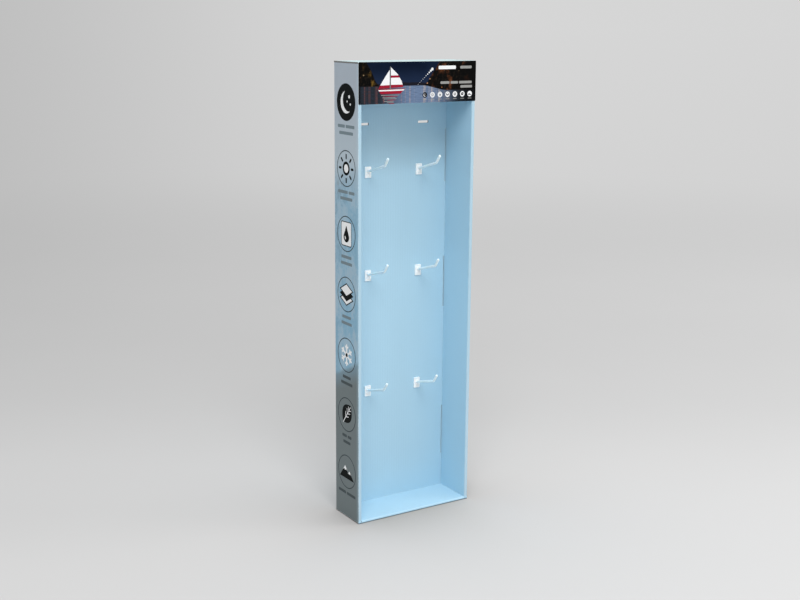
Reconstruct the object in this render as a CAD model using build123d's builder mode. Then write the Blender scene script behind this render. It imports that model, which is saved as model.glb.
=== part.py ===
"""Open-fronted display tray in corrugated cardboard, with a header card and six hooks.

Millimetres. +X is the stand's right seen from the front, -Y its front, +Z up. The origin is the
bottom centre of the whole stand.
"""

import os
from math import atan2, cos, degrees, radians, sin, tan

from build123d import *

# Whole stand
WIDTH = 356.0
DEPTH = 124.0
HEIGHT = 1219.0

# Corrugated sheet
BOARD = 3.8
FOLD_INSIDE = 0.5
FOLD_OUTSIDE = 2.4
PLAY = 0.3

# Rolled side walls, with lock tabs through the back panel
WALL_WIDTH = 9.9
TAB_LENGTH = 143.0
TAB_LEAD = 1.6
TAB_GAP = 2.6
TAB_HEIGHT_SHARES = (0.1436, 0.5, 0.789)

# Floor rolled back over the bottom flap
FLOOR_TAB_LENGTH = 62.0
FLOOR_TAB_SPACING = 170.0

# Top flap's front end, turned down behind the header card
GLUE_FLAP = 30.0

# Slots for hanging the stand
HANG_SLOT_WIDTH = 33.0
HANG_SLOT_HEIGHT = 6.4
HANG_SLOT_CORNER = 1.5
HANG_SLOT_SPACING = 187.0
HANG_SLOT_DROP = 163.8

# Header card
HEADER_HEIGHT = 104.0
HEADER_CARD = 1.0
HEADER_LOW_CORNER = 3.0
HEADER_TOP_CORNER = 0.8

# Hooks: plate, root boss and prong in front of the back panel
HOOK_SPACING = 160.0
HOOK_HEIGHT_SHARES = (0.269, 0.534, 0.762)
PLATE_WIDTH = 19.0
PLATE_HEIGHT = 30.0
PLATE_THICKNESS = 3.4
PLATE_CORNER = 2.0
PLATE_EDGE = 0.8
BOSS_WIDTH = 9.5
BOSS_HEIGHT = 18.0
BOSS_THICKNESS = 1.4
BOSS_CORNER = 1.5
BOSS_SLOPE = 15.0
PRONG_DIAMETER = 7.0
PRONG_ROOT_DIAMETER = 8.8
PRONG_ROOT_LENGTH = 9.0
PRONG_ROOT_RISE = 1.5
PRONG_SLOPE = 15.5
TIP_LENGTH = 23.5
TIP_SLOPE = 53.0
TIP_SETBACK = 17.8
BEND_RADIUS = 9.0

# Hooks: barbed spring legs through the back panel
LEG_WIDTH = 7.0
LEG_THICKNESS = 3.2
LEG_SPREAD = 18.0
BARB_RISE = 1.8
BARB_REACH = 2.4
HOLE_PLAY = 0.4

# Planes that the pieces share
side = WIDTH / 2
aisle = side - WALL_WIDTH
header_front = -(DEPTH + BARB_REACH) / 2
tray_front = header_front + HEADER_CARD
back_outside = header_front + DEPTH
back_inside = back_outside - BOARD
wall_foot = BOARD + PLAY
wall_head = HEIGHT - BOARD - PLAY
floor_top = wall_foot + BOARD
tray_depth = back_outside - tray_front

# Places that repeat
tab_heights = [share * HEIGHT for share in TAB_HEIGHT_SHARES]
hook_heights = [share * HEIGHT for share in HOOK_HEIGHT_SHARES]
hang_slot_height = HEIGHT - HANG_SLOT_DROP
hook_sides = {"left": -HOOK_SPACING / 2, "right": HOOK_SPACING / 2}

# Sketch planes: behind the back panel and on the tray's front, both looking forwards, local Y up
rear_plane = Plane(origin=(0, back_outside, 0), x_dir=(1, 0, 0), z_dir=(0, -1, 0))
front_plane = Plane(origin=(0, tray_front, 0), x_dir=(1, 0, 0), z_dir=(0, -1, 0))


def fold_outline(corners):
    """Closed section of a folded sheet from its corners, each with its fold radius."""
    points = [corner[:2] for corner in corners]
    radii = [corner[2] for corner in corners]
    return FilletPolyline(*points, radius=radii, close=True)


with BuildPart() as tray:
    # Bottom flap, folded up at the front and back over itself as the floor
    with BuildSketch(Plane.YZ.offset(-side)):
        with BuildLine():
            fold_outline([
                (tray_front, 0, FOLD_OUTSIDE),
                (back_outside, 0, FOLD_OUTSIDE),
                (back_outside, floor_top, 0),
                (back_inside, floor_top, 0),
                (back_inside, BOARD, FOLD_INSIDE),
                (tray_front + BOARD, BOARD, 0),
                (tray_front + BOARD, wall_foot, 0),
                (back_inside - PLAY, wall_foot, 0),
                (back_inside - PLAY, floor_top, 0),
                (tray_front, floor_top, FOLD_OUTSIDE),
            ])
        make_face()
    extrude(amount=WIDTH)

    # Top flap, with its front end turned down as the glue flap
    with BuildSketch(Plane.YZ.offset(-side)):
        with BuildLine():
            fold_outline([
                (tray_front, HEIGHT, FOLD_OUTSIDE),
                (back_outside, HEIGHT, FOLD_OUTSIDE),
                (back_outside, wall_head - BOARD, 0),
                (back_inside, wall_head - BOARD, 0),
                (back_inside, HEIGHT - BOARD, FOLD_INSIDE),
                (tray_front + BOARD, HEIGHT - BOARD, FOLD_INSIDE),
                (tray_front + BOARD, HEIGHT - GLUE_FLAP, 0),
                (tray_front, HEIGHT - GLUE_FLAP, 0),
            ])
        make_face()
    extrude(amount=WIDTH)

    # Both flaps are notched where the side walls stand between them
    notch = WALL_WIDTH + PLAY
    with BuildSketch(Plane.XY.offset(BOARD)):
        with Locations((0, (tray_front + back_outside) / 2)):
            with GridLocations(WIDTH - notch, 0, 2, 1):
                Rectangle(notch, tray_depth)
    extrude(amount=HEIGHT - 2 * BOARD, mode=Mode.SUBTRACT)

    # Back panel with both side walls rolled over at their front edges
    with BuildSketch(Plane.XY.offset(wall_foot)):
        with BuildLine():
            fold_outline([
                (0, back_outside, 0),
                (side, back_outside, FOLD_OUTSIDE),
                (side, tray_front, FOLD_OUTSIDE),
                (aisle, tray_front, FOLD_OUTSIDE),
                (aisle, back_inside - PLAY, 0),
                (aisle + BOARD, back_inside - PLAY, 0),
                (aisle + BOARD, tray_front + BOARD, FOLD_INSIDE),
                (side - BOARD, tray_front + BOARD, FOLD_INSIDE),
                (side - BOARD, back_inside, FOLD_INSIDE),
                (0, back_inside, 0),
            ])
        make_face()
        mirror(about=Plane.YZ)
    extrude(amount=wall_head - wall_foot)

    # Slots in the back panel for the side walls' tabs, open towards the aisle
    tab_slot_width = TAB_GAP + BOARD + PLAY
    tab_slot_spacing = 2 * (aisle - TAB_GAP) + tab_slot_width
    with BuildSketch(rear_plane):
        for height in tab_heights:
            with Locations((0, height)):
                with GridLocations(tab_slot_spacing, 0, 2, 1):
                    Rectangle(tab_slot_width, TAB_LENGTH)
    extrude(amount=BOARD, mode=Mode.SUBTRACT)

    # Tabs of the inner side walls
    tab_root = back_inside - PLAY
    tab_half = TAB_LENGTH / 2 - PLAY
    for tab_plane in (Plane.YZ.offset(aisle), Plane.YZ.offset(-aisle - BOARD)):
        with BuildSketch(tab_plane):
            for height in tab_heights:
                with BuildLine():
                    Polyline(
                        (tab_root, height - tab_half),
                        (back_outside - TAB_LEAD, height - tab_half),
                        (back_outside, height - tab_half + TAB_LEAD),
                        (back_outside, height + tab_half - TAB_LEAD),
                        (back_outside - TAB_LEAD, height + tab_half),
                        (tab_root, height + tab_half),
                        close=True,
                    )
                make_face()
        extrude(amount=BOARD)

    # Slots for the floor's tabs, just above the bottom fold, and the tabs themselves
    with BuildSketch(rear_plane):
        with Locations((0, (BOARD + floor_top + PLAY) / 2)):
            with GridLocations(FLOOR_TAB_SPACING, 0, 2, 1):
                Rectangle(FLOOR_TAB_LENGTH + 2 * PLAY, floor_top + PLAY - BOARD)
    extrude(amount=BOARD, mode=Mode.SUBTRACT)
    with BuildSketch(rear_plane):
        with Locations((0, (wall_foot + floor_top) / 2)):
            with GridLocations(FLOOR_TAB_SPACING, 0, 2, 1):
                Rectangle(FLOOR_TAB_LENGTH, BOARD)
    extrude(amount=BOARD + PLAY)

    # Hanging slots and hook holes
    with BuildSketch(rear_plane):
        with Locations((0, hang_slot_height)):
            with GridLocations(HANG_SLOT_SPACING, 0, 2, 1):
                RectangleRounded(HANG_SLOT_WIDTH, HANG_SLOT_HEIGHT, HANG_SLOT_CORNER)
        for height in hook_heights:
            with Locations((0, height)):
                with GridLocations(HOOK_SPACING, 0, 2, 1):
                    Rectangle(LEG_WIDTH + 2 * HOLE_PLAY, LEG_SPREAD + 2 * HOLE_PLAY)
    extrude(amount=BOARD, mode=Mode.SUBTRACT)

with BuildPart() as header_card:
    with BuildSketch(front_plane) as card_outline:
        with Locations((0, HEIGHT - HEADER_HEIGHT / 2)):
            Rectangle(WIDTH, HEADER_HEIGHT)
        low_corners = card_outline.vertices().group_by(Axis.Z)[0]
        top_corners = card_outline.vertices().group_by(Axis.Z)[-1]
        fillet(low_corners, HEADER_LOW_CORNER)
        fillet(top_corners, HEADER_TOP_CORNER)
    extrude(amount=HEADER_CARD)


def make_hook(x, z):
    """One moulded hook, seated on the back panel at x, z and snapped in behind it."""
    seat = Plane(origin=(x, back_inside, z), x_dir=(1, 0, 0), z_dir=(0, -1, 0))
    profile = Plane(origin=(x, back_inside, z), x_dir=(0, -1, 0), z_dir=(-1, 0, 0))
    boss_front = PLATE_THICKNESS + BOSS_THICKNESS
    root = PLATE_THICKNESS / 2
    reach = back_inside - tray_front - TIP_SETBACK
    bend = reach - TIP_LENGTH * cos(radians(TIP_SLOPE))
    bend_rise = PRONG_ROOT_RISE + (bend - root) * tan(radians(PRONG_SLOPE))
    tip_rise = bend_rise + TIP_LENGTH * sin(radians(TIP_SLOPE))
    leg_outer = LEG_SPREAD / 2
    leg_inner = leg_outer - LEG_THICKNESS

    with BuildPart() as hook:
        with BuildSketch(seat):
            RectangleRounded(PLATE_WIDTH, PLATE_HEIGHT, PLATE_CORNER)
        extrude(amount=PLATE_THICKNESS)
        fillet(hook.faces().sort_by(Axis.Y)[0].edges(), PLATE_EDGE)

        with BuildSketch(seat.offset(PLATE_THICKNESS)):
            RectangleRounded(BOSS_WIDTH, BOSS_HEIGHT, BOSS_CORNER)
        extrude(amount=BOSS_THICKNESS, taper=BOSS_SLOPE)

        with BuildLine(profile) as prong_line:
            FilletPolyline(
                (root, PRONG_ROOT_RISE),
                (bend, bend_rise),
                (reach, tip_rise),
                radius=BEND_RADIUS,
            )
        with BuildSketch(Plane(origin=prong_line.line @ 0, z_dir=prong_line.line % 0)):
            Circle(PRONG_DIAMETER / 2)
        sweep(path=prong_line.line)
        with Locations(prong_line.line @ 1):
            Sphere(PRONG_DIAMETER / 2)

        cone_length = boss_front + PRONG_ROOT_LENGTH
        cone_taper = degrees(atan2((PRONG_ROOT_DIAMETER - PRONG_DIAMETER) / 2, cone_length))
        with BuildLine(profile) as cone_line:
            PolarLine((root, PRONG_ROOT_RISE), cone_length, PRONG_SLOPE)
        with BuildSketch(Plane(origin=cone_line.line @ 0, z_dir=cone_line.line % 0)):
            Circle(PRONG_ROOT_DIAMETER / 2)
        extrude(amount=cone_length, taper=cone_taper)

        with BuildSketch(profile):
            with BuildLine():
                Polyline(
                    (root, leg_inner),
                    (-BOARD - BARB_REACH, leg_inner),
                    (-BOARD - BARB_REACH, leg_outer),
                    (-BOARD - PLAY, leg_outer + BARB_RISE),
                    (-BOARD - PLAY, leg_outer),
                    (root, leg_outer),
                    close=True,
                )
            make_face()
            mirror(about=Plane.XZ)
        extrude(amount=LEG_WIDTH / 2, both=True)
    return hook


tray.part.label = "tray"
header_card.part.label = "header_card"

os.makedirs("parts", exist_ok=True)
export_step(tray.part, "parts/tray.step")
export_step(header_card.part, "parts/header_card.step")
for row, height in enumerate(hook_heights, start=1):
    for name, x in hook_sides.items():
        hook = make_hook(x, height)
        hook.part.label = f"hook_{row}_{name}"
        export_step(hook.part, f"parts/{hook.part.label}.step")
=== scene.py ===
"""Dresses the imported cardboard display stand: printed board, header card, side print, hooks, studio."""

from math import cos, pi, radians, sin

import bmesh
import bpy
from bpy.props import FloatProperty, FloatVectorProperty, PointerProperty
from mathutils import Matrix, Vector


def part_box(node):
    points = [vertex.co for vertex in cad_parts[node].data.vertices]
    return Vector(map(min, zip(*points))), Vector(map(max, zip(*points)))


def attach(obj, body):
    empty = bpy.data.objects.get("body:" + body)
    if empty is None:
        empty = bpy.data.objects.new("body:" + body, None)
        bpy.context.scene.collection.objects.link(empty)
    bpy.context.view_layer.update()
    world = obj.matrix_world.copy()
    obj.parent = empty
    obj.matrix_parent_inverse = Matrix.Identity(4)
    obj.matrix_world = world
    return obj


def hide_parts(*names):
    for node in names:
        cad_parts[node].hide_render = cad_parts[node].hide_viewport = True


bl_info = {
    "name": "Cardboard Display Stand",
    "version": (1, 0, 0),
    "blender": (4, 5, 0),
    "location": "View3D > Sidebar > Display Stand",
    "description": "Finishes a cardboard display stand and sets up a plain studio round it",
    "category": "Object",
}

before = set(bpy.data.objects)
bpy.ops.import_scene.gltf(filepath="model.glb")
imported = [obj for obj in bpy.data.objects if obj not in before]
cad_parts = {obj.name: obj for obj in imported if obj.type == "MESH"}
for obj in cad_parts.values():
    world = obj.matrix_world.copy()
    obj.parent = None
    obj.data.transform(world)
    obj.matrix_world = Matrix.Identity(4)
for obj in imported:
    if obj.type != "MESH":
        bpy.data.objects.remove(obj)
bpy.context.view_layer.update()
tray_low, tray_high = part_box("tray")
card_low, card_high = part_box("header_card")

MM = 0.001

# Planes of the folded sheet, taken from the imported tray
SIDE = tray_high.x
FRONT = tray_low.y
TOP = tray_high.z
CARD_FRONT = card_low.y

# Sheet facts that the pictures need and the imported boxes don't give
BOARD = 3.8 * MM
FOLD = 2.4 * MM
WALL_GAP = 0.3 * MM
BACK = FRONT + 123.0 * MM
SLOT_LEVEL = TOP - 163.8 * MM

# How near to a plane a face has to be to lie on it
HAIR = 0.1 * MM

# Where the side print's dark foot field ends, and how much its line falls towards the back
FOOT_FIELD = 410 * MM
FOOT_SLOPE = 0.455

# How deep a layer of ink reaches into the sheet, so that no two faces share a plane
SUNK = 0.05 * MM


# Settings

def colour_setting(name, description, default):
    """A colour that a user would change."""
    return FloatVectorProperty(
        name=name, description=description, default=default, subtype="COLOR", size=3, min=0, max=1)


def length_setting(name, description, default, least=0.0):
    """A length that a user would change."""
    return FloatProperty(name=name, description=description, default=default, unit="LENGTH", min=least)


def share_setting(name, description, default):
    """A share from 0 to 1 that a user would change."""
    return FloatProperty(
        name=name, description=description, default=default, subtype="FACTOR", min=0, max=1)


def angle_setting(name, description, degrees):
    """An angle that a user would change, with its default in degrees."""
    return FloatProperty(
        name=name, description=description, default=radians(degrees), subtype="ANGLE", unit="ROTATION")


class BoardSettings(bpy.types.PropertyGroup):
    """Colours and surface of the printed board."""
    flood: colour_setting(
        "Flood colour", "Ink that covers the tray inside and behind", (0.425, 0.650, 0.790))
    fold_tint: colour_setting(
        "Fold colour", "Paper showing through the ink where the sheet is folded", (0.72, 0.82, 0.86))
    side_high: colour_setting("Side print, top", "Upper field of the side print", (0.385, 0.424, 0.474))
    side_middle: colour_setting(
        "Side print, middle", "Mottled field of the side print", (0.203, 0.405, 0.555))
    side_pale: colour_setting(
        "Side print, pale", "Pale patches of the mottled field", (0.350, 0.475, 0.565))
    side_blot: colour_setting("Side print, blots", "Warm blots in the mottled field", (0.205, 0.205, 0.205))
    side_low: colour_setting("Side print, foot", "Lower field of the side print", (0.127, 0.160, 0.167))
    kraft: colour_setting("Cut edge colour", "Bare fluting paper at the cut edges", (0.335, 0.338, 0.330))
    flute_pitch: length_setting(
        "Flute pitch", "Distance from one flute of the board to the next", 7.8 * MM, least=0.002)
    flute_depth: length_setting(
        "Flute show-through", "How far the flutes press through the printed face", 0.035 * MM)
    edge_round: length_setting(
        "Cut edge rounding", "Rounding that the die leaves on the cut edges", 0.2 * MM)


class BadgeSettings(bpy.types.PropertyGroup):
    """Round badges down the left side."""
    diameter: length_setting("Diameter", "Outside diameter of each ring", 94 * MM)
    line: length_setting("Line", "Width of each ring's line", 2.6 * MM)
    top: length_setting("First badge", "Height of the highest badge's centre", 1118 * MM)
    pitch: length_setting("Pitch", "Distance from one badge to the next", 164.8 * MM)
    caption_drop: length_setting(
        "Caption drop", "From a ring's lowest point to the caption's first line", 14 * MM)
    caption_pitch: length_setting(
        "Caption pitch", "Distance from one line of a caption to the next", 17 * MM)
    caption_height: length_setting("Caption height", "Height of a caption's bars", 8 * MM)
    ink: length_setting("Ink build", "Thickness of the ink on the board", 0.03 * MM)
    dark: colour_setting("Dark ink", "Ink of the first badge and of the signs", (0.004, 0.006, 0.006))
    line_ink: colour_setting("Line ink", "Ink of the rings", (0.048, 0.062, 0.068))
    caption_ink: colour_setting(
        "Caption ink", "Ink of the captions above the foot field", (0.175, 0.228, 0.255))
    foot_ink: colour_setting(
        "Foot caption ink", "Ink of the captions on the foot field", (0.068, 0.086, 0.092))
    pale: colour_setting("Pale ink", "Ink of the light parts of the signs", (0.80, 0.82, 0.83))


class HeaderSettings(bpy.types.PropertyGroup):
    """Night picture on the header card."""
    shore: share_setting("Shore line", "Height of the shore as a share of the card", 0.42)
    light_size: length_setting("Hill lights", "Spacing of the lights on the slopes", 9 * MM, least=0.001)
    sign_size: length_setting("Sign size", "Diameter of the small signs in the row", 14.4 * MM)
    ink: length_setting("Ink build", "Thickness of the ink on the card", 0.02 * MM)
    night: colour_setting("Night colour", "Top of the sky", (0.0018, 0.0060, 0.0190))
    dusk: colour_setting("Dusk colour", "Sky above the water", (0.010, 0.020, 0.050))
    water: colour_setting("Water colour", "Open water in the middle", (0.138, 0.200, 0.318))
    sail: colour_setting("Sail colour", "Red of the boat's hull and sail stripes", (0.300, 0.012, 0.030))
    white: colour_setting("White", "White of the sails, the first bar and the signs", (0.80, 0.81, 0.82))
    grey: colour_setting(
        "Grey", "Grey of the other bars and of the light on the water", (0.290, 0.290, 0.280))
    dark: colour_setting("Dark", "Dark ink of the small signs", (0.006, 0.006, 0.008))


class HookSettings(bpy.types.PropertyGroup):
    """Moulded hooks."""
    # The plastic colour's cool tint is partly its own and partly painted blue light from the board
    plastic: colour_setting("Plastic colour", "Colour of the moulded plastic", (0.93, 0.99, 1.0))
    roughness: share_setting("Roughness", "Roughness of the moulded surface", 0.34)


class StudioSettings(bpy.types.PropertyGroup):
    """Camera, lamps and floor."""
    camera_place: FloatVectorProperty(
        name="Camera place", description="Where the camera stands",
        subtype="XYZ", unit="LENGTH", size=3, default=(-1.7358, -2.7308, 1.3215))
    camera_turn: angle_setting("Camera turn", "Turn of the view to the right of straight back", 32.26)
    camera_dip: angle_setting("Camera dip", "How far the view looks down", 12.82)
    camera_roll: angle_setting("Camera roll", "Roll of the camera about its own axis", 0.41)
    lens: FloatProperty(
        name="Lens", description="Focal length on a 36 mm sensor, in millimetres",
        min=10, default=55.4)
    floor: colour_setting("Floor colour", "Pale studio floor", (0.59, 0.59, 0.59))
    # Strength of the painted shadow round the stand's foot
    foot_shade: share_setting("Foot shade", "How much the floor darkens right at the stand's foot", 0.17)
    backdrop: colour_setting("Backdrop colour", "What the floor fades to far away", (0.60, 0.60, 0.60))
    # Painted light across the floor and backdrop
    sweep: share_setting("Sweep", "How much lighter the floor is towards the view's right", 0.22)
    sweep_turn: angle_setting(
        "Sweep turn", "Direction of the backdrop's sweep, as a turn from straight back", 32.26)
    corner: share_setting("Dark corner", "How much darker the backdrop is at its left end", 0.255)
    dome: FloatProperty(
        name="Dome light", description="Strength of the soft light at the horizon",
        min=0, default=0.45)
    zenith: FloatProperty(
        name="Overhead light", description="How much stronger the soft light is overhead",
        min=0, default=0.62)
    key: FloatProperty(
        name="Key lamp", description="Power of the large lamp in front", unit="POWER",
        min=0, default=132)
    fill: FloatProperty(
        name="Fill lamp", description="Power of the lamp far to the right", unit="POWER",
        min=0, default=60)


# Meshes

def merged_copy(node_name):
    """A CAD node's mesh as a bmesh with its corners merged and its flat faces whole."""
    bm = bmesh.new()
    bm.from_mesh(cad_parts[node_name].data)
    bmesh.ops.remove_doubles(bm, verts=bm.verts, dist=0.002 * MM)
    bmesh.ops.dissolve_limit(bm, angle_limit=radians(0.3), verts=bm.verts, edges=bm.edges)
    return bm


def add_piece(name, bm, materials):
    """Turns a bmesh into a finished piece of the stand, smooth except at its sharp edges."""
    for face in bm.faces:
        face.smooth = True
    mesh = bpy.data.meshes.new(name)
    bm.to_mesh(mesh)
    bm.free()
    mesh.set_sharp_from_angle(angle=radians(32))
    for material in materials:
        mesh.materials.append(material)
    piece = bpy.data.objects.new(name, mesh)
    bpy.context.scene.collection.objects.link(piece)
    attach(piece, "root")
    return piece


def weigh_normals(piece):
    """Keeps wide flat faces flat to the light beside small rounded edges."""
    modifier = piece.modifiers.new("flat faces", "WEIGHTED_NORMAL")
    modifier.mode = "FACE_AREA"
    modifier.weight = 80
    modifier.keep_sharp = True


def shows_thickness(face):
    """True for a narrow flat face that is as wide as the sheet is thick."""
    width = face.calc_area() / max(edge.calc_length() for edge in face.edges)
    widest = BOARD + 0.4 * MM
    nearly = 0.6 * MM
    spans = [max(vert.co[axis] for vert in face.verts) - min(vert.co[axis] for vert in face.verts)
             for axis in range(3)]
    return width < widest and any(abs(span - BOARD) < nearly for span in spans)


def in_back_panel(face):
    """True for a face of a hole's rounded corner in the back panel."""
    middle = face.calc_center_median()
    return BACK - BOARD < middle.y < BACK and abs(face.normal.y) < 0.05 and abs(middle.x) < SIDE - 4 * BOARD


def is_square_on(face):
    """True for a face that looks straight along an axis."""
    return max(abs(component) for component in face.normal) > 0.9999


def plane_at(origin, right, up):
    """The plane that a print lies on, with its own right and up."""
    right, up = Vector(right), Vector(up)
    out = right.cross(up)
    turn = Matrix((right, up, out)).transposed().to_4x4()
    return Matrix.Translation(origin) @ turn


class Print:
    """A flat print that is laid ink by ink, in thin closed layers that stand proud of the sheet.

    Its spots and sizes are shares of its width and height, which are 1 m where they aren't given, and
    a layer's build is a share of its lift.
    """

    def __init__(self, lift, wide=1.0, high=1.0, middle=(0, 0), bm=None):
        self.lift = lift
        self.size = Vector((wide, high))
        self.middle = Vector(middle)
        self.bm = bmesh.new() if bm is None else bm

    def place(self, spot):
        """Where a spot lies on the print's plane, at the foot of its layers."""
        return Vector((*(self.middle + self.size * Vector(spot)), -SUNK))

    def lay(self, faces, ink, build):
        """Turns flat faces into a closed layer of one ink."""
        for face in faces:
            face.material_index = ink
        raised = bmesh.ops.extrude_face_region(self.bm, geom=faces)["geom"]
        verts = [part for part in raised if isinstance(part, bmesh.types.BMVert)]
        bmesh.ops.translate(self.bm, verts=verts, vec=(0, 0, self.lift * build + SUNK))

    def circle(self, spot, radius, segments, shape=None):
        """A flat round face, or what shape makes of each of its points, given as shares of the radius."""
        radius = radius * self.size.x
        made = bmesh.ops.create_circle(self.bm, segments=segments, radius=radius)["verts"]
        for vert in made:
            if shape:
                vert.co.xy = Vector(shape(*(vert.co.xy / radius))) * radius
            vert.co += self.place(spot)
        outline = list({edge for vert in made for edge in vert.link_edges})
        return bmesh.ops.contextual_create(self.bm, geom=outline)["faces"]

    def disc(self, spot, radius, ink, build=1.0, shape=None, segments=72):
        """A disc, or another round shape."""
        self.lay(self.circle(spot, radius, segments, shape), ink, build)

    def ring(self, spot, radius, line, ink):
        """A ring, with its line inside the radius."""
        face = self.circle(spot, radius, 96)
        band = bmesh.ops.inset_region(
            self.bm, faces=face, thickness=line * self.size.x,
            use_boundary=True, use_even_offset=True)["faces"]
        bmesh.ops.delete(self.bm, geom=face, context="FACES_ONLY")
        self.lay(band, ink, 1.0)

    def bar(self, spot, size, ink, build=1.0, turn=0.0, ends=0.49):
        """A bar turned about its centre, with its ends rounded by a share of its height."""
        wide, high = self.size * Vector(size)
        turned = Matrix.Translation(self.place(spot)) @ Matrix.Rotation(turn, 4, "Z")
        made = bmesh.ops.create_grid(
            self.bm, x_segments=1, y_segments=1, size=0.5,
            matrix=turned @ Matrix.Diagonal((wide, high, 1, 1)))["verts"]
        rounded = bmesh.ops.bevel(
            self.bm, geom=made, offset=high * ends, segments=5, profile=0.5,
            affect="VERTICES", material=-1)["verts"]
        self.lay(list({face for vert in rounded for face in vert.link_faces}), ink, build)

    def patch(self, corners, ink, build=1.0):
        """A straight-edged patch."""
        made = [self.bm.verts.new(self.place(corner)) for corner in corners]
        self.lay([self.bm.faces.new(made)], ink, build)

    def words(self, middle, widths, high, ink):
        """A line of plain bars, as wide as its words, centred on middle."""
        gap = 0.55 * high
        start = middle[0] - (sum(widths) + gap * (len(widths) - 1)) / 2
        for wide in widths:
            self.bar((start + wide / 2, middle[1]), (wide, high), ink, ends=0.3)
            start += wide + gap

    def finish(self, name, inks, plane):
        """Makes the print a piece of the stand, on its plane."""
        bmesh.ops.recalc_face_normals(self.bm, faces=self.bm.faces)
        bmesh.ops.transform(self.bm, matrix=plane, verts=self.bm.verts)
        add_piece(name, self.bm, inks)


# Nodes

class Value:
    """A node's output, which + - * / and abs take further with Math nodes."""

    def __init__(self, socket):
        self.socket = socket
        self.tree = socket.id_data

    def __add__(self, other):
        return calc("ADD", self, other)

    def __sub__(self, other):
        return calc("SUBTRACT", self, other)

    def __rsub__(self, other):
        return calc("SUBTRACT", other, self)

    def __mul__(self, other):
        return calc("MULTIPLY", self, other)

    def __truediv__(self, other):
        return calc("DIVIDE", self, other)

    def __rtruediv__(self, other):
        return calc("DIVIDE", other, self)

    def __abs__(self):
        return calc("ABSOLUTE", self)


def feed(target, sockets):
    """Gives a node's sockets a link from a value or a node's first output, or a number or a colour."""
    for key, value in sockets.items():
        socket = target.inputs[key]
        if isinstance(value, bpy.types.Node):
            value = Value(value.outputs[0])
        if isinstance(value, Value):
            value.tree.links.new(value.socket, socket)
        elif socket.type == "RGBA":
            socket.default_value = (*value[:3], 1)
        else:
            socket.default_value = value


def node(tree, kind, sockets=None, **settings):
    """Adds a node, sets its settings, and feeds its sockets."""
    made = tree.nodes.new(kind)
    column, row = divmod(len(tree.nodes), 6)
    made.location = (210 * column, -240 * row)
    for key, value in settings.items():
        setattr(made, key, value)
    feed(made, sockets or {})
    return made


def calc(operation, *values):
    """One step of arithmetic on values and numbers."""
    tree = next(value.tree for value in values if isinstance(value, Value))
    return Value(node(tree, "ShaderNodeMath", dict(enumerate(values)), operation=operation).outputs[0])


def ease(value, start, end):
    """0 before start, 1 past end, and a smooth rise between them. Start may be the higher one."""
    sockets = {"Value": value, "From Min": start, "From Max": end}
    made = node(value.tree, "ShaderNodeMapRange", sockets, interpolation_type="SMOOTHSTEP")
    return Value(made.outputs["Result"])


def blend(share, first, second, mode="MIX"):
    """Colour that goes from first to second with share."""
    sockets = {0: share, 6: first, 7: second}
    made = node(share.tree, "ShaderNodeMix", sockets, data_type="RGBA", blend_type=mode)
    return Value(made.outputs[2])


def scaled(colour, level):
    """A colour made lighter or darker by a level."""
    made = node(level.tree, "ShaderNodeVectorMath", {0: colour, "Scale": level}, operation="SCALE")
    return Value(made.outputs[0])


def length_of(vector):
    """The length of a vector."""
    made = node(vector.tree, "ShaderNodeVectorMath", {0: vector}, operation="LENGTH")
    return Value(made.outputs["Value"])


def split(vector, kind="ShaderNodeSeparateXYZ"):
    """The three parts of a vector or a colour."""
    return [Value(part) for part in node(vector.tree, kind, {0: vector}).outputs]


def joined(x, y=0.0, z=0.0):
    """The vector with these parts."""
    return Value(node(x.tree, "ShaderNodeCombineXYZ", {0: x, 1: y, 2: z}).outputs[0])


def noise(vector, size, stretch=(1, 1, 1), detail=2.0, roughness=0.5):
    """Noise whose patches are about size across, in metres, drawn out along the axes by stretch."""
    scale = [1 / (size * share) for share in stretch]
    placed = node(vector.tree, "ShaderNodeMapping", {"Vector": vector, "Scale": scale})
    sockets = {"Vector": placed, "Scale": 1.0, "Detail": detail, "Roughness": roughness}
    return Value(node(vector.tree, "ShaderNodeTexNoise", sockets).outputs[0])


def tinted(colour, *shares):
    """A plain colour times one share, or times one for each of its parts."""
    return [part * share for part, share in zip(colour, shares * 3)]


def new_material(name):
    """A material with a Principled shader, as (material, shader, object coordinates)."""
    material = bpy.data.materials.new(name)
    material.use_nodes = True
    tree = material.node_tree
    tree.nodes.clear()
    shader = node(tree, "ShaderNodeBsdfPrincipled")
    node(tree, "ShaderNodeOutputMaterial", {"Surface": shader})
    return material, shader, Value(node(tree, "ShaderNodeTexCoord").outputs["Object"])


def new_group(name, inputs, outputs):
    """A node group, as (its output node, its Vector, its other incoming values in order)."""
    group = bpy.data.node_groups.new(name, "ShaderNodeTree")
    kinds = {"Vector": "NodeSocketVector", "Colour": "NodeSocketColor"}
    for label, default in {"Vector": (0, 0, 0), **inputs}.items():
        kind = kinds.get(label, "NodeSocketFloat")
        socket = group.interface.new_socket(name=label, in_out="INPUT", socket_type=kind)
        socket.default_value = default
    for label in outputs:
        kind = kinds.get(label, "NodeSocketFloat")
        group.interface.new_socket(name=label, in_out="OUTPUT", socket_type=kind)
    sockets = group.nodes.new("NodeGroupInput").outputs
    coming = [Value(socket) for socket in sockets if socket.name]
    return group.nodes.new("NodeGroupOutput"), *coming


def use_group(name, vector, **sockets):
    """Places a finished group on a vector and returns its outputs."""
    made = node(vector.tree, "ShaderNodeGroup", {"Vector": vector, **sockets},
                node_tree=bpy.data.node_groups[name])
    return {socket.name: Value(socket) for socket in made.outputs}


def bump(shader, height):
    """Raises a surface by a height in metres."""
    made = node(height.tree, "ShaderNodeBump", {"Strength": 1.0, "Distance": 1.0, "Height": height})
    feed(shader, {"Normal": made})


# Effects that several finishes share

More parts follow.
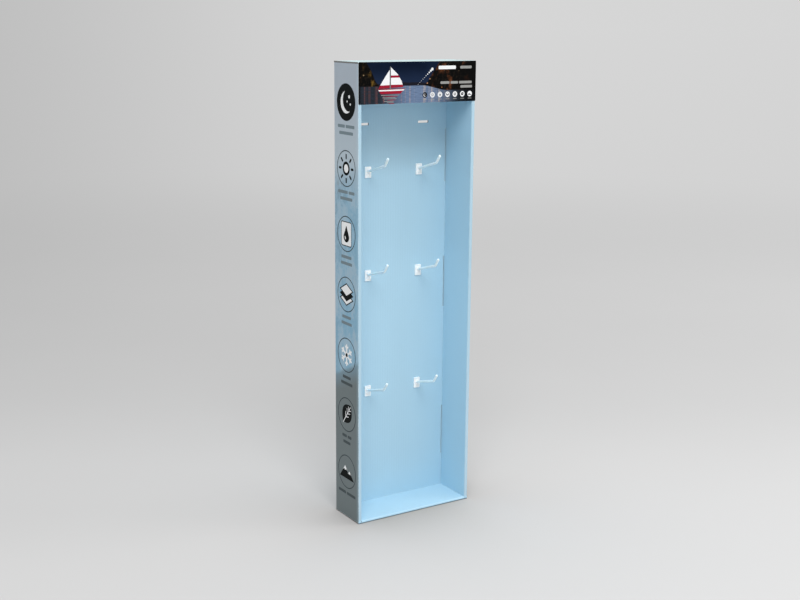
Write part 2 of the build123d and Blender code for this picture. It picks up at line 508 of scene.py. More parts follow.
def make_paper_grain():
    """Fibres and felt marks of paper, as a height in metres and a tone about 1."""
    going, vector, depth, tone = new_group(
        "paper_grain", {"Depth": 0.02 * MM, "Tone": 0.03}, ("Height", "Tone"))
    fibres = noise(vector, 0.9 * MM, (1, 1, 3), detail=3)
    felt = noise(vector, 7 * MM, detail=3)
    both = fibres * 0.6 + felt * 0.4
    feed(going, {"Height": both * depth, "Tone": (both - 0.5) * tone + 1.0})


def make_ink_lay():
    """Uneven lay of printing ink in broad soft patches, which also change its sheen."""
    going, vector, colour, unevenness, tone = new_group(
        "ink_lay", {"Colour": (1, 1, 1, 1), "Unevenness": 0.05, "Tone": 1.0}, ("Colour", "Roughness"))
    patches = noise(vector, 70 * MM, (1, 1, 1.8), detail=3)
    level = ((patches - 0.5) * unevenness + 1.0) * tone
    feed(going, {"Colour": scaled(colour, level), "Roughness": patches * 0.16 + 0.44})


def make_flute_ripple():
    """Flutes pressing through the printed face: along Z in upright panels, along Y in flat ones."""
    going, vector, pitch, depth = new_group(
        "flute_ripple", {"Pitch": 7.8 * MM, "Depth": 0.03 * MM}, ("Height",))
    x, y, _ = split(vector)
    facing = Value(node(x.tree, "ShaderNodeNewGeometry").outputs["Normal"])
    on_side = calc("GREATER_THAN", abs(split(facing)[0]), 0.7)
    across = y * on_side + x * (1.0 - on_side)
    wave = calc("SINE", across / pitch * (2 * pi))
    broken = noise(vector, 45 * MM, (1, 1, 4), detail=1)
    feed(going, {"Height": wave * (broken + 0.4) * depth})


def make_fold_wear():
    """Where the sheet's outer folds are rubbed: a mask along the upright folds and the top ones."""
    going, vector, reach, amount = new_group(
        "fold_wear", {"Reach": 2.5 * MM, "Amount": 1.0}, ("Mask",))
    x, y, z = split(vector)

    def near(value, plane):
        return ease(abs(value - plane), reach, 0.0)

    at_corner = calc("MAXIMUM", near(y, FRONT), near(y, BACK))
    folds = calc("MAXIMUM", near(abs(x), SIDE) * at_corner, near(z, TOP) * at_corner)
    cracks = noise(vector, 1.6 * MM, (1, 1, 3), detail=4, roughness=0.7)
    stretches = noise(vector, 60 * MM, detail=2)
    worn = ease(cracks + stretches * 0.7, 0.72, 1.05)
    feed(going, {"Mask": folds * worn * amount})


def make_effects():
    """Builds the shared effects once."""
    for name, make in (("paper_grain", make_paper_grain), ("ink_lay", make_ink_lay),
                       ("flute_ripple", make_flute_ripple), ("fold_wear", make_fold_wear)):
        if name not in bpy.data.node_groups:
            make()


def printed_surface(shader, vector, colour, unevenness, grain=0.02 * MM, flutes=0.0, wear=0.0, gloss=0.5):
    """Gives a print its ink, fibres, flutes and rubbed folds, and joins them to the shader."""
    board = bpy.context.scene.stand_board
    fibres = use_group("paper_grain", vector, Depth=grain, Tone=0.05)
    ink = use_group("ink_lay", vector, Colour=colour, Unevenness=unevenness, Tone=fibres["Tone"])
    colour = ink["Colour"]
    height = fibres["Height"]
    if flutes:
        ripple = use_group("flute_ripple", vector, Pitch=board.flute_pitch, Depth=flutes)
        height = height + ripple["Height"]
    if wear:
        worn = use_group("fold_wear", vector, Amount=wear)["Mask"]
        colour = blend(worn, colour, board.fold_tint)
    feed(shader, {"Base Color": colour, "Roughness": ink["Roughness"], "Specular IOR Level": gloss})
    bump(shader, height)


# Finishes of the board

def flood_print():
    """Light blue ink all over both liners, greyer on the front edges, with painted light and shade: lighter
    on the floor panel and behind the header, darker in the upper tray and under the header, darker high up
    on the front edges, a painted highlight and shade on the floor's rolled front, and a painted pale sheen
    on the top.
    """
    board = bpy.context.scene.stand_board
    material, shader, vector = new_material("flood_print")
    _, y, z = split(vector)
    # Front edge tones: greyer than the flood, with painted shade high up and painted light low down
    front_edge_shaded_high, front_edge_lit_low = (0.405, 0.595, 0.710), (0.452, 0.642, 0.772)
    # Floor roll's front: painted highlight on its upper half, painted shade on its lower half
    painted_fold_light, painted_fold_shade = (0.480, 0.730, 0.900), (0.120, 0.210, 0.290)
    painted_top_sheen = (0.50, 0.65, 0.67)

    header_foot = card_low.z
    inner_back = BACK - BOARD
    # Masks of the painted light and shade on the flood print
    painted_light_on_floor = ease(z, 12 * MM, 9 * MM)
    below_header = ease(z, header_foot - 70 * MM, header_foot - 120 * MM)
    upper = ease(z, 620 * MM, 780 * MM) * below_header
    on_back = ease(y, inner_back - 7 * MM, inner_back - 1 * MM)
    painted_shade_under_header = on_back * ease(z, header_foot - 205 * MM, header_foot - 150 * MM) * below_header
    far_in = ease(y, inner_back - 42 * MM, inner_back - 7 * MM)
    painted_light_behind_header = far_in * ease(z, header_foot - 90 * MM, header_foot - 30 * MM)
    # Painted light and shade on the flood: lighter on the floor panel, darker in the upper tray, darker
    # still under the header on the back panel, lighter behind the header
    washes = (
        (painted_light_on_floor, tinted(board.flood, 1.10, 1.065, 1.05)),
        (upper, tinted(board.flood, 0.94)),
        (painted_shade_under_header, tinted(board.flood, 0.845)),
        (painted_light_behind_header, tinted(board.flood, 1.10)),
    )
    colour = board.flood
    for share, wash in washes:
        colour = blend(share, colour, wash)

    # Front edges: painted shade high up fading to painted light low down
    at_front = ease(y, FRONT + 3 * MM, FRONT + 1 * MM)
    colour = blend(at_front, colour, blend(ease(z, 650 * MM, 150 * MM), front_edge_shaded_high, front_edge_lit_low))
    # Floor roll's front face: a painted highlight on its upper half and painted shade on its lower half,
    # where the fold turns down
    colour = blend(at_front * ease(z, 12 * MM, 7.5 * MM), colour, painted_fold_light)
    colour = blend(at_front * ease(z, 3.4 * MM, 2.4 * MM), colour, painted_fold_shade)
    # A painted pale sheen on the top flap, where it is seen at a grazing angle
    colour = blend(ease(z, TOP - 1.5 * MM, TOP - 0.2 * MM), colour, painted_top_sheen)
    printed_surface(shader, vector, colour, 0.04, flutes=board.flute_depth, wear=0.8)
    return material


def side_print():
    """Outer sides: a smooth field at the top, a mottled one, and a dark one at the foot."""
    board = bpy.context.scene.stand_board
    material, shader, vector = new_material("side_print")
    _, y, z = split(vector)
    drift = (noise(vector, 60 * MM, detail=4) - 0.5) * (40 * MM)
    clouds = noise(vector, 38 * MM, (1, 1, 1.7), detail=6, roughness=0.62)
    grit = noise(vector, 9 * MM, detail=5, roughness=0.7)
    mottle = clouds * 0.7 + grit * 0.3

    middle = blend(ease(mottle, 0.43, 0.60) * 0.78, board.side_middle, board.side_pale)
    at_back = ease(y, -20 * MM, 45 * MM) * 0.8 + 0.2
    at_top = ease(z, 640 * MM, 840 * MM) * 0.75 + 0.25
    middle = blend(ease(mottle, 0.55, 0.38) * 0.75 * at_back * at_top, middle, board.side_blot)
    lighter = tinted(board.side_high, 1.16, 1.22, 1.20)
    high = blend(ease(z, 1150 * MM, 960 * MM), board.side_high, lighter)
    high = blend(mottle * 0.25, high, board.side_middle)
    upper = blend(ease(z + drift, 870 * MM, 980 * MM), middle, high)

    blur = 8 * MM
    foot_line = y * -FOOT_SLOPE + (FOOT_FIELD + blur)
    past_line = drift * 0.4 + z - foot_line
    soaked = ease(past_line, -55 * MM, 0.0) * 0.35
    low = blend(soaked, board.side_low, board.side_middle)
    colour = blend(ease(past_line, blur, -blur), upper, low)
    bleed = ease(y, FRONT + 14 * MM, FRONT) * 0.22
    colour = blend(bleed, colour, board.flood)
    printed_surface(shader, vector, colour, 0.08, flutes=board.flute_depth, wear=1.0)
    return material


def cut_edge():
    """Raw edge of the board: two liners with the fluting between them, on the edge's own map, with painted
    shade in the flute hollows and on the slots' ends.
    """
    board = bpy.context.scene.stand_board
    material, shader, vector = new_material("cut_edge")
    edge_map = Value(node(vector.tree, "ShaderNodeUVMap", uv_map="board_edge").outputs[0])
    along, height_on_edge, _ = split(edge_map)
    across = height_on_edge - 0.5
    liner_start = 0.38
    wave = calc("SINE", along * (2 * pi)) * liner_start
    liner = ease(abs(across), liner_start, 0.43)
    paper = calc("MAXIMUM", ease(abs(across - wave), 0.11, 0.06), liner)
    # The hollows between the flutes are painted dark as shade
    colour = blend(paper, tinted(board.kraft, 0.36), board.kraft)
    # Painted shade on the cut ends of the hanging slots
    painted_shade_in_slot = ease(abs(split(vector)[2] - SLOT_LEVEL), 5 * MM, 4 * MM)
    colour = blend(painted_shade_in_slot, colour, tinted(board.kraft, 0.15))
    fibres = use_group("paper_grain", vector, Depth=0.05 * MM, Tone=0.3)
    ink = use_group("ink_lay", vector, Colour=colour, Unevenness=0.15, Tone=fibres["Tone"])
    feed(shader, {"Base Color": ink["Colour"], "Roughness": 0.85})
    bump(shader, fibres["Height"] + paper * (0.5 * MM))
    return material


def map_cut_edges(bm, faces, pitch):
    """Lays the edge's own map on cut faces: along the edge in flutes, and across its thickness."""
    layer = bm.loops.layers.uv.new("board_edge")
    for face in faces:
        longest = max(face.edges, key=lambda edge: edge.calc_length())
        along = (longest.verts[1].co - longest.verts[0].co).normalized()
        across = face.normal.cross(along)
        low = min(loop.vert.co.dot(across) for loop in face.loops)
        wide = max(loop.vert.co.dot(across) for loop in face.loops) - low
        at_foot = face.calc_center_median().z < 10 * MM
        cuts_flutes = abs(face.normal.z) > 0.5 or abs(face.normal.y) > 0.5 and at_foot
        for loop in face.loops:
            place = loop.vert.co.dot(along) / pitch if cuts_flutes else 0.0
            loop[layer].uv = (place, (loop.vert.co.dot(across) - low) / wide)


class STAND_OT_tray(bpy.types.Operator):
    """Folds the tray out of printed board"""
    bl_idname = "stand.tray"
    bl_label = "Tray"

    def execute(self, context):
        board = context.scene.stand_board
        make_effects()
        bm = merged_copy("tray")
        flood, side, cut = 0, 1, 2
        cut_faces = []
        for face in bm.faces:
            face.material_index = flood
            middle = face.calc_center_median()
            if not is_square_on(face):
                if abs(middle.x) > SIDE - FOLD / 3 and WALL_GAP < middle.z - BOARD < TOP - 2 * BOARD:
                    face.material_index = side
                elif in_back_panel(face):
                    face.material_index = cut
                    cut_faces.append(face)
            elif abs(middle.x) > SIDE - HAIR and BOARD < middle.z < TOP - BOARD:
                face.material_index = side
            elif shows_thickness(face) and not (face.normal.y < -0.5 and middle.y < FRONT + HAIR):
                face.material_index = cut
                cut_faces.append(face)
        map_cut_edges(bm, cut_faces, board.flute_pitch)
        shortest, bluntest = 1 * MM, radians(60)
        rims = {edge for face in cut_faces for edge in face.edges
                if edge.is_manifold and edge.calc_face_angle() > bluntest
                and edge.calc_length() > shortest}
        bmesh.ops.bevel(
            bm, geom=list(rims), offset=board.edge_round, segments=2, profile=0.5,
            affect="EDGES", material=-1, clamp_overlap=True)
        piece = add_piece("tray_board", bm, [flood_print(), side_print(), cut_edge()])
        weigh_normals(piece)
        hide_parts("tray")
        return {"FINISHED"}


# Prints on the left side and on the header card

def solid_ink(name, colour):
    """Screen-printed ink: slightly uneven, with the paper's grain showing through."""
    material, shader, vector = new_material(name)
    printed_surface(shader, vector, colour, 0.08, grain=0.015 * MM, gloss=0.04)
    return material


def around(turn, reach):
    """The spot at a reach from the middle, in the direction of turn."""
    return Vector((cos(turn), sin(turn))) * reach


def moon_sign(sign, dark, pale):
    """A crescent and three small stars, pale."""
    lean = Vector((0.90, 0.43)).normalized()

    def crescent(u, v):
        point = Vector((u, v))
        past = max(point.dot(lean) - 0.22, 0.0)
        return point - 2 * past * lean

    sign.disc((0.02, 0), 0.60, pale, shape=crescent)
    for u, v, size in ((0.34, 0.30, 0.09), (0.46, -0.10, 0.06), (0.12, 0.04, 0.05)):
        sign.disc((u, v), size, pale, segments=20)


def sun_sign(sign, dark, pale):
    """A disc with eight rays."""
    sign.disc((0, 0), 0.38, dark)
    sign.disc((0, 0), 0.23, pale, 1.5)
    for step in range(8):
        turn = step * pi / 4
        sign.bar(around(turn, 0.65), (0.30, 0.13), dark, turn=turn)


def drop_sign(sign, dark, pale):
    """A pale card with a falling drop on it."""
    def drop(u, v):
        rise = max(v, 0.0)
        return u * (1 - 0.62 * rise ** 1.4), v + 0.95 * rise ** 2

    for size, ink, build in ((1.00, dark, 1.0), (0.93, pale, 1.4)):
        sign.bar((0, 0), (1.12 * size, 1.38 * size), ink, build, ends=0.07)
    sign.disc((0, -0.16), 0.31, dark, 1.8, drop)
    sign.disc((-0.12, -0.22), 0.10, pale, 2.1, lambda u, v: (0.55 * u - 0.25 * v, v))


def sheet_sign(sign, dark, pale):
    """Three sheets lying one above the other."""
    for step, face in enumerate((pale, dark, pale)):
        rise = 0.25 * (step - 1)
        for wide, ink, build in ((0.76, dark, 1.0), (0.62, face, 1.25)):
            high = 0.52 * wide
            corners = (wide, rise), (0, rise + high), (-wide, rise), (0, rise - high)
            sign.patch(corners, ink, build + 0.5 * step)


def flake_sign(sign, dark, pale):
    """A pale snowflake with six arms."""
    for arm in range(6):
        turn = arm * pi / 3 + pi / 6
        sign.bar(around(turn, 0.33), (0.62, 0.13), pale, 1 + 0.04 * arm, turn)
        for side in (-1, 1):
            lean = turn + side * radians(52)
            branch = around(turn, 0.38) + around(lean, 0.10)
            sign.bar(branch, (0.25, 0.10), pale, 1.3 + 0.02 * side, lean)
    sign.disc((0, 0), 0.13, dark, 1.6, segments=6)


def leaf_sign(sign, dark, pale):
    """A leaf with its veins."""
    lean = Matrix.Rotation(radians(-38), 2)
    sign.disc((0.02, 0.06), 0.72, dark, shape=lambda u, v: lean @ Vector((0.74 * u * abs(u), v)))
    stem = radians(52)
    sign.bar((0, 0), (1.36, 0.055), pale, 1.5, stem)
    for along, reach in ((-0.20, 0.19), (0.08, 0.19), (0.34, 0.12)):
        for turn in (stem - radians(42), stem + radians(42)):
            vein = around(stem, along) + around(turn, reach)
            sign.bar(vein, (0.29, 0.045), pale, 1.5, turn)


def hill_sign(sign, dark, pale):
    """Two peaks with snow on them."""
    foot = -0.42
    snow = 0.40
    for middle, half, steepness in ((0.28, 0.52, 1.0), (-0.20, 0.62, 1.25)):
        peak = foot + half * steepness
        sign.patch([(middle - half, foot), (middle + half, foot), (middle, peak)], dark, 1 + half)
        low = peak - snow * (peak - foot)
        wide = snow * half
        notch = low + 0.35 * wide
        cap = [(middle - wide, low), (middle - 0.4 * wide, notch), (middle, low),
               (middle + 0.4 * wide, notch), (middle + wide, low), (middle, peak)]
        sign.patch(cap, pale, 1.6 + half)


# Each sign's name and drawing, whether it is mostly pale, the widths of its
# caption's bars line by line, and how far it hangs below an even row, both in millimetres
SIGNS = (
    ("moon", moon_sign, True, ((36, 44), (70,)), 0.0),
    ("sun", sun_sign, False, ((50, 30), (62,)), 3.0),
    ("drop", drop_sign, False, ((52,), (58,)), 7.5),
    ("sheets", sheet_sign, False, ((46,), (54,)), 3.0),
    ("flake", flake_sign, True, ((42,), (60,)), 2.5),
    ("leaf", leaf_sign, False, ((24, 20), (38,)), 2.3),
    ("hills", hill_sign, False, ((40, 46),), -0.8),
)


class STAND_OT_badges(bpy.types.Operator):
    """Prints the badges and their caption bars on the left side"""
    bl_idname = "stand.badges"
    bl_label = "Badges"

    def execute(self, context):
        make_effects()
        badges = context.scene.stand_badges
        inks = [
            solid_ink("dark_ink", badges.dark),
            solid_ink("pale_ink", badges.pale),
            solid_ink("line_ink", badges.line_ink),
            solid_ink("caption_ink", badges.caption_ink),
            solid_ink("foot_ink", badges.foot_ink),
        ]
        dark, pale, line, caption, foot = range(len(inks))
        radius = badges.diameter / 2
        middle = (FRONT + BACK) / 2
        for place, (name, draw_sign, _, lines, drop) in enumerate(SIGNS):
            height = badges.top - place * badges.pitch - drop * MM
            badge = Print(badges.ink)
            if place == 0:
                badge.disc((0, 0), radius, dark)
            else:
                badge.ring((0, 0), radius, badges.line, line)
            sign_lift = badges.ink * (1.5 if place == 0 else 1.0)
            draw_sign(Print(sign_lift, radius, radius, bm=badge.bm), dark, pale)
            for row, words in enumerate(lines):
                level = -radius - badges.caption_drop - row * badges.caption_pitch
                ink = foot if height + level < FOOT_FIELD else caption
                badge.words((0, level), [word * MM for word in words], badges.caption_height, ink)
            plane = plane_at((-SIDE, middle, height), (0, -1, 0), (0, 0, 1))
            badge.finish(f"badge_{name}", inks, plane)
        return {"FINISHED"}


# Header card

UNLIT = (0.0015, 0.0015, 0.0015)

# Half the soft width of a hill's outline, as a share of the card's height
OUTLINE = 0.012


def night_sky(header, high, flat, along):
    """Sky that pales towards the water, with some haze and a far range of hills."""
    sky = blend(ease(high, header.shore, 0.95), header.dusk, header.night)
    haze = noise(flat, 60 * MM, (1.6, 1, 1), detail=3)
    sky = blend(ease(haze, 0.45, 0.75) * 0.35, sky, header.dusk)
    far_hill = noise(along, 70 * MM, detail=4) * 0.34 + (header.shore - 0.09)
    return blend(ease(far_hill - high, -OUTLINE, OUTLINE), sky, (0.010, 0.010, 0.016))


def wooded_slopes(header, across, high, flat):
    """Dark ground with patches of lit leaves and with lamps."""
    leaves = noise(flat, 7 * MM, detail=6, roughness=0.68)
    ground = blend(ease(leaves, 0.46, 0.80), UNLIT, (0.024, 0.017, 0.011))
    patches = noise(flat, 26 * MM, (1, 1, 1.3), detail=2)
    warm = blend(ease(across, -0.3, 0.2), (0.230, 0.130, 0.022), (0.190, 0.062, 0.022))
    lit = ease(patches, 0.52, 0.70) * ease(leaves, 0.30, 0.62) * ease(abs(across), 1.0, 0.72)
    ground = blend(lit * 0.85, ground, warm)

    lamps = node(flat.tree, "ShaderNodeTexVoronoi", {
        "Vector": flat, "Scale": 1 / header.light_size, "Randomness": 0.9}).outputs
    size_tone, chance, warmth = split(Value(lamps["Color"]), "ShaderNodeSeparateColor")
    disc = ease(Value(lamps["Distance"]) - (size_tone * 0.20 + 0.05), 0.05, -0.05)
    chosen = calc("GREATER_THAN", chance, 0.66)
    lamp_colour = blend(warmth, (0.75, 0.22, 0.06), (0.85, 0.60, 0.34))
    shine = disc * chosen * ease(high, 1.0, header.shore)
    return blend(shine * 0.55, ground, lamp_colour)


def lake(header, across, flat, along):
    """Open water with ripples, and the lamps' light standing in it."""
    open_water = ease(abs(across - 0.02), 0.72, 0.14)
    water = blend(open_water, (0.016, 0.021, 0.027), header.water)
    ripple = noise(flat, 2.0 * MM, (8, 1, 1), detail=4, roughness=0.6)
    water = blend(ease(ripple, 0.42, 0.70) * 0.45, water, (0.030, 0.042, 0.075))
    column = ease(across, 0.0, 0.15) * 0.06 + noise(along, 11 * MM, detail=2)
    streak = ease(column, 0.50, 0.68) * ease(ripple, 0.66, 0.40) * ease(across, 0.62, 0.30)
    light = blend(ease(across, -0.5, 0.0), (0.250, 0.090, 0.085), (0.440, 0.370, 0.330))
    return blend(streak * 0.72, water, light)


def header_print():
    """Night picture of a lake between dark slopes, with lamps and their light on the water."""
    header = bpy.context.scene.stand_header
    material, shader, vector = new_material("header_print")
    x, _, z = split(vector)
    across = x / SIDE
    high = (z - card_low.z) / (card_high.z - card_low.z)
    flat = joined(x, 0.0, z)
    along = joined(x)

    ridge = (noise(along, 24 * MM, detail=5, roughness=0.6) - 0.5) * 0.22
    right = ease(across, 0.02, 0.52) * 0.85
    left = ease(across, -0.60, -0.94) * 0.70
    slope = calc("MAXIMUM", right, left) + ridge + (header.shore - 0.06)
    sky = night_sky(header, high, flat, along)
    land = wooded_slopes(header, across, high, flat)
    picture = blend(ease(slope - high, -OUTLINE, OUTLINE), sky, land)
    shore_fall = 0.13
    shore = ease(across, 0.05, 0.50) * -shore_fall + header.shore
    above_shore = ease(high - shore, -OUTLINE / 2, OUTLINE / 2)
    picture = blend(above_shore, lake(header, across, flat, along), picture)
    edge_dark = calc("MAXIMUM", ease(across, 0.55, 0.90), ease(across, -0.94, -1.0))
    picture = blend(edge_dark * 0.85, picture, UNLIT)
    printed_surface(shader, vector, picture, 0.05, grain=0.006 * MM, gloss=0.04)
    return material


def bare_card():
    """Unprinted back and cut edges of the card."""
    material, shader, vector = new_material("bare_card")
    printed_surface(shader, vector, (0.62, 0.64, 0.64), 0.08, grain=0.03 * MM)
    return material


def print_boat(boat, white, red, grey):
    """A small sailing boat with striped sails, and its light on the water below."""
    boat.patch([(-0.42, 0.03), (-0.31, -0.17), (0.35, -0.17), (0.50, 0.05)], red)
    boat.patch([(-0.40, 0.00), (-0.37, -0.05), (0.45, -0.04), (0.485, 0.02)], white, 1.4)
    boat.patch([(-0.008, 0.04), (0.008, 0.04), (0.005, 1.00), (-0.005, 1.00)], grey)
    boat.patch([(0.02, 0.09), (0.44, 0.11), (0.38, 0.38), (0.25, 0.67), (0.02, 0.97)], white)
    boat.patch([(0.02, 0.09), (0.44, 0.11), (0.416, 0.22), (0.02, 0.22)], red, 1.4)
    boat.patch([(0.02, 0.52), (0.32, 0.52), (0.275, 0.62), (0.02, 0.62)], red, 1.4)
    boat.patch([(-0.02, 0.08), (-0.40, 0.06), (-0.22, 0.46), (-0.02, 0.86)], white)
    boat.patch([(-0.02, 0.08), (-0.40, 0.06), (-0.34, 0.20), (-0.02, 0.21)], red, 1.4)
    for step in range(8):
        reach = (0.62 - 0.055 * step) * (0.85 + 0.15 * cos(2.4 * step))
        spot = (0.05 * sin(2.1 * step), -0.225 - 0.052 * step)
        boat.bar(spot, (reach, 0.022), red if step % 3 == 1 else grey)


class STAND_OT_header(bpy.types.Operator):
    """Cuts the header card and prints its picture, bars and signs"""
    bl_idname = "stand.header"
    bl_label = "Header card"

    def execute(self, context):
        make_effects()
        header = context.scene.stand_header
        bm = merged_copy("header_card")
        for face in bm.faces:
            face.material_index = 0 if face.normal.y < -0.9 else 1
        piece = add_piece("header_picture", bm, [header_print(), bare_card()])
        weigh_normals(piece)
        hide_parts("header_card")

        inks = [
            solid_ink("card_white", header.white),
            solid_ink("card_red", header.sail),
            solid_ink("card_grey", header.grey),
            solid_ink("card_dark", header.dark),
        ]
        white, red, grey, dark = range(len(inks))
        tall = card_high.z - card_low.z
        middle = (card_low.z + card_high.z) / 2
        plane = plane_at((0, CARD_FRONT, middle), (1, 0, 0), (0, 0, 1))

        def spot(across, high):
            return across * SIDE, (high - 0.5) * tall

        boat = Print(header.ink, wide=88 * MM, high=58 * MM, middle=spot(-0.48, 0.33))
        print_boat(boat, white, red, grey)
        boat.finish("header_boat", inks, plane)

        bars = Print(header.ink)
        last_dot = 9
        for step in range(last_dot + 1):
            share = step / last_dot
            place = spot(-0.01 + 0.24 * share, header.shore + 0.03 + 0.36 * share)
            bars.disc(place, (0.7 + 2.9 * share ** 3) * MM, white, segments=24)
        bars.words(spot(0.49, 0.845), [54 * MM], 9 * MM, white)
        bars.words(spot(0.82, 0.845), [36 * MM], 7 * MM, grey)
        bars.words(spot(0.65, 0.475), [28 * MM, 23 * MM, 40 * MM], 6.5 * MM, grey)
        bars.words(spot(0.83, 0.370), [37 * MM], 6.5 * MM, grey)
        bars.finish("header_bars", inks, plane)

        radius = header.sign_size / 2
        for place, (name, draw_sign, is_pale, _, _) in enumerate(SIGNS):
            centre = spot(0.106 + 0.1313 * place, 0.186)
            sign = Print(header.ink, middle=centre)
            ground = dark if place == 0 else white
            sign.disc((0, 0), radius, ground, segments=48)
            inks_of_sign = (white, dark) if is_pale and ground == white else (dark, white)
            draw_sign(Print(1.5 * header.ink, radius, radius, centre, sign.bm), *inks_of_sign)
            sign.bar((0, -1.6 * radius), (12 * MM, 1.6 * MM), grey)
            sign.finish(f"header_{name}", inks, plane)
        return {"FINISHED"}


# Hooks

def hook_plastic():
    """White moulded plastic with a fine spark-eroded grain, and painted blue light from the board on the
    prong.
    """
    hooks = bpy.context.scene.stand_hooks
    material, shader, vector = new_material("hook_plastic")
    flow = noise(vector, 14 * MM, detail=3)
    grain = noise(vector, 0.5 * MM, detail=3)
    colour = scaled(hooks.plastic, flow * 0.05 + 0.975)
    # Painted blue light from the board on the prong
    painted_blue_in_prong = ease(split(vector)[1], 50 * MM, 44 * MM)
    feed(shader, {
        "Base Color": blend(painted_blue_in_prong, colour, (0.88, 0.96, 1.0), "MULTIPLY"),
        "Roughness": flow * 0.12 + (hooks.roughness - 0.06),
        "Subsurface Weight": 0.5,
        "Subsurface Radius": (0.9, 1.0, 1.1),
        "Subsurface Scale": 2 * MM,
    })
    bump(shader, grain * (0.012 * MM))
    return material


class STAND_OT_hooks(bpy.types.Operator):
    """Moulds the six hooks"""
    bl_idname = "stand.hooks"
    bl_label = "Hooks"

    def execute(self, context):
        plastic = hook_plastic()
        names = sorted(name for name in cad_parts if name.startswith("hook_"))
        if not names:
            raise RuntimeError("the packed model has no hooks")
        for name in names:
            piece = add_piece(f"{name}_moulding", merged_copy(name), [plastic])
            weigh_normals(piece)
            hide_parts(name)
        return {"FINISHED"}


# Studio

def sideways(x, y):
    """How far to the right along the sweep a point or a direction is."""
    angle = bpy.context.scene.stand_studio.sweep_turn
    return x * cos(angle) - y * sin(angle)


def backdrop_level(share):
    """Light of the backdrop: even on the right, darker towards its left end."""
    corner = bpy.context.scene.stand_studio.corner
    full = 1.115
    return (ease(share, 0.02, -0.42) * -corner + 1.0) * full


def studio_floor():
    """Pale matt floor with painted light and shade, which fades into a glowing backdrop far away."""
    studio = bpy.context.scene.stand_studio
    material, shader, vector = new_material("studio_floor")
    x, y, _ = split(vector)
    past_side = calc("MAXIMUM", abs(x) - SIDE, 0.0)
    past_front = calc("MAXIMUM", abs(y) + FRONT, 0.0)
    away = length_of(joined(past_side, past_front))
    far = length_of(vector)

    # Painted light and shade on the floor: lighter towards the view's right, darker from the stand
    # backwards, lighter again further back except at the far left
    view_depth = far + 4.0
    share = sideways(x, y) / view_depth
    angle = studio.sweep_turn
    behind = x * sin(angle) + y * cos(angle)
    dip_behind = ease(behind, 0.0, 1.1) * -0.072 + 1.0
    rise_behind = ease(behind, 1.5, 3.2) * ease(share, -0.38, -0.12) * 0.06 + 1.0
    sweep = (share * studio.sweep + 0.97) * dip_behind * rise_behind
    wear = noise(vector, 0.5, detail=3) * 0.02 + 0.99
    colour = scaled(studio.floor, wear * sweep)

    # Painted shadow on the floor round the stand's foot, weaker to the right
    foot_reach, front_reach = 0.11, 0.13
    to_right = ease(x, 0.0, SIDE) * -0.5 + 1.0
    foot_shade = calc("EXPONENT", away / -foot_reach) * to_right * studio.foot_shade
    colour = blend(foot_shade, colour, (0.06, 0.02, 0.0))
    # Painted warm shadow on the floor in front of the stand
    in_front = ease(y, FRONT + 0.02, FRONT - 0.01) * ease(abs(x), 0.25, 0.08)
    front_shade = calc("EXPONENT", away / -front_reach) * in_front
    colour = blend(front_shade, colour, (0.935, 0.885, 0.830), "MULTIPLY")
    feed(shader, {"Base Color": colour, "Roughness": 0.9, "Specular IOR Level": 0.1})

    # Far away the floor glows as a backdrop, darker towards its left end
    strength = backdrop_level(share) * (1.0 - 0.25 / (far + 0.8))
    glow = node(far.tree, "ShaderNodeEmission", {"Color": studio.backdrop, "Strength": strength})
    fade = ease(far, 1.8, 8.0)
    mixed = node(far.tree, "ShaderNodeMixShader", {0: fade, 1: shader, 2: glow})
    end = next(made for made in far.tree.nodes if made.type == "OUTPUT_MATERIAL")
    feed(end, {"Surface": mixed})
    return material


def studio_world():
    """An even dome of light, with the backdrop's own grey for the camera."""
    studio = bpy.context.scene.stand_studio
    world = bpy.data.worlds.new("studio_world")
    world.use_nodes = True
    tree = world.node_tree
    tree.nodes.clear()
    x, y, z = split(Value(node(tree, "ShaderNodeTexCoord").outputs["Generated"]))
    level = calc("MAXIMUM", z, 0.0) * studio.zenith + studio.dome
    dome = node(tree, "ShaderNodeBackground", {"Color": (1, 1, 1), "Strength": level})
    seen = node(tree, "ShaderNodeBackground", {
        "Color": studio.backdrop, "Strength": backdrop_level(sideways(x, y))})
    to_camera = Value(node(tree, "ShaderNodeLightPath").outputs["Is Camera Ray"])
    mixed = node(tree, "ShaderNodeMixShader", {0: to_camera, 1: dome, 2: seen})
    node(tree, "ShaderNodeOutputWorld", {"Surface": mixed})
    return world


def add_lamp(name, place, aim, size, power):
    """A square lamp that shines from a place towards a point."""
    lamp = bpy.data.lights.new(name, "AREA")
    lamp.shape = "SQUARE"
    lamp.size = size
    lamp.energy = power
    holder = bpy.data.objects.new(name, lamp)
    bpy.context.scene.collection.objects.link(holder)
    turned = (Vector(aim) - Vector(place)).to_track_quat("-Z", "Y").to_matrix().to_4x4()
    holder.matrix_world = Matrix.Translation(place) @ turned


def add_camera(studio):
    """The camera at the view that the stand is pictured from."""
    camera = bpy.data.cameras.new("camera")
    camera.sensor_width = 36.0
    camera.lens = studio.lens
    camera.clip_end = 300.0
    holder = bpy.data.objects.new("camera", camera)
    bpy.context.scene.collection.objects.link(holder)
    holder.matrix_world = (
        Matrix.Translation(studio.camera_place)
        @ Matrix.Rotation(-studio.camera_turn, 4, "Z")
        @ Matrix.Rotation(pi / 2 - studio.camera_dip, 4, "X")
        @ Matrix.Rotation(studio.camera_roll, 4, "Z"))
    bpy.context.scene.camera = holder


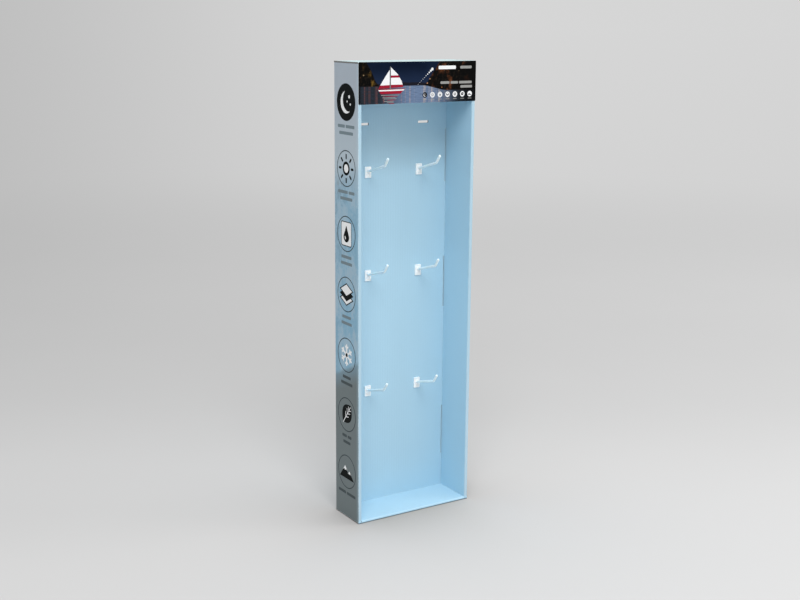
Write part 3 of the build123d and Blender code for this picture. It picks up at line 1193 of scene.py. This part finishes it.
class STAND_OT_studio(bpy.types.Operator):
    """Sets up the floor, the lamps and the camera"""
    bl_idname = "stand.studio"
    bl_label = "Studio"

    def execute(self, context):
        studio = context.scene.stand_studio
        bm = bmesh.new()
        bmesh.ops.create_circle(bm, cap_ends=True, segments=96, radius=120.0)
        for face in bm.faces:
            if face.normal.z < 0:
                face.normal_flip()
        mesh = bpy.data.meshes.new("studio_floor")
        bm.to_mesh(mesh)
        bm.free()
        mesh.materials.append(studio_floor())
        floor = bpy.data.objects.new("studio_floor", mesh)
        context.scene.collection.objects.link(floor)
        context.scene.world = studio_world()
        context.scene.view_settings.view_transform = "Standard"
        add_lamp("key_lamp", place=(-1.4, -2.9, 4.4), aim=(0, 0, 0.8), size=2.6, power=studio.key)
        add_lamp("fill_lamp", place=(5.0, -2.5, 3.0), aim=(2.5, 0.5, 0), size=2.5, power=studio.fill)
        add_camera(studio)
        return {"FINISHED"}


# Panel, registration and the run itself

class STAND_PT_panel(bpy.types.Panel):
    """Lists the steps of the display stand"""
    bl_idname = "STAND_PT_panel"
    bl_label = "Display Stand"
    bl_space_type = "VIEW_3D"
    bl_region_type = "UI"
    bl_category = "Display Stand"

    def draw(self, context):
        for name, (settings, operator) in STEPS.items():
            box = self.layout.box()
            for key in settings.__annotations__:
                box.prop(getattr(context.scene, name), key)
            box.operator(operator.bl_idname)


STEPS = {
    "stand_board": (BoardSettings, STAND_OT_tray),
    "stand_badges": (BadgeSettings, STAND_OT_badges),
    "stand_header": (HeaderSettings, STAND_OT_header),
    "stand_hooks": (HookSettings, STAND_OT_hooks),
    "stand_studio": (StudioSettings, STAND_OT_studio),
}
CLASSES = (*(cls for step in STEPS.values() for cls in step), STAND_PT_panel)


def register():
    for cls in CLASSES:
        bpy.utils.register_class(cls)
    for name, (settings, _) in STEPS.items():
        setattr(bpy.types.Scene, name, PointerProperty(type=settings))


def unregister():
    for name in STEPS:
        delattr(bpy.types.Scene, name)
    for cls in reversed(CLASSES):
        bpy.utils.unregister_class(cls)


def main():
    """Builds everything in order."""
    register()
    bpy.ops.stand.tray()
    bpy.ops.stand.badges()
    bpy.ops.stand.header()
    bpy.ops.stand.hooks()
    bpy.ops.stand.studio()


if __name__ == "__main__":
    main()
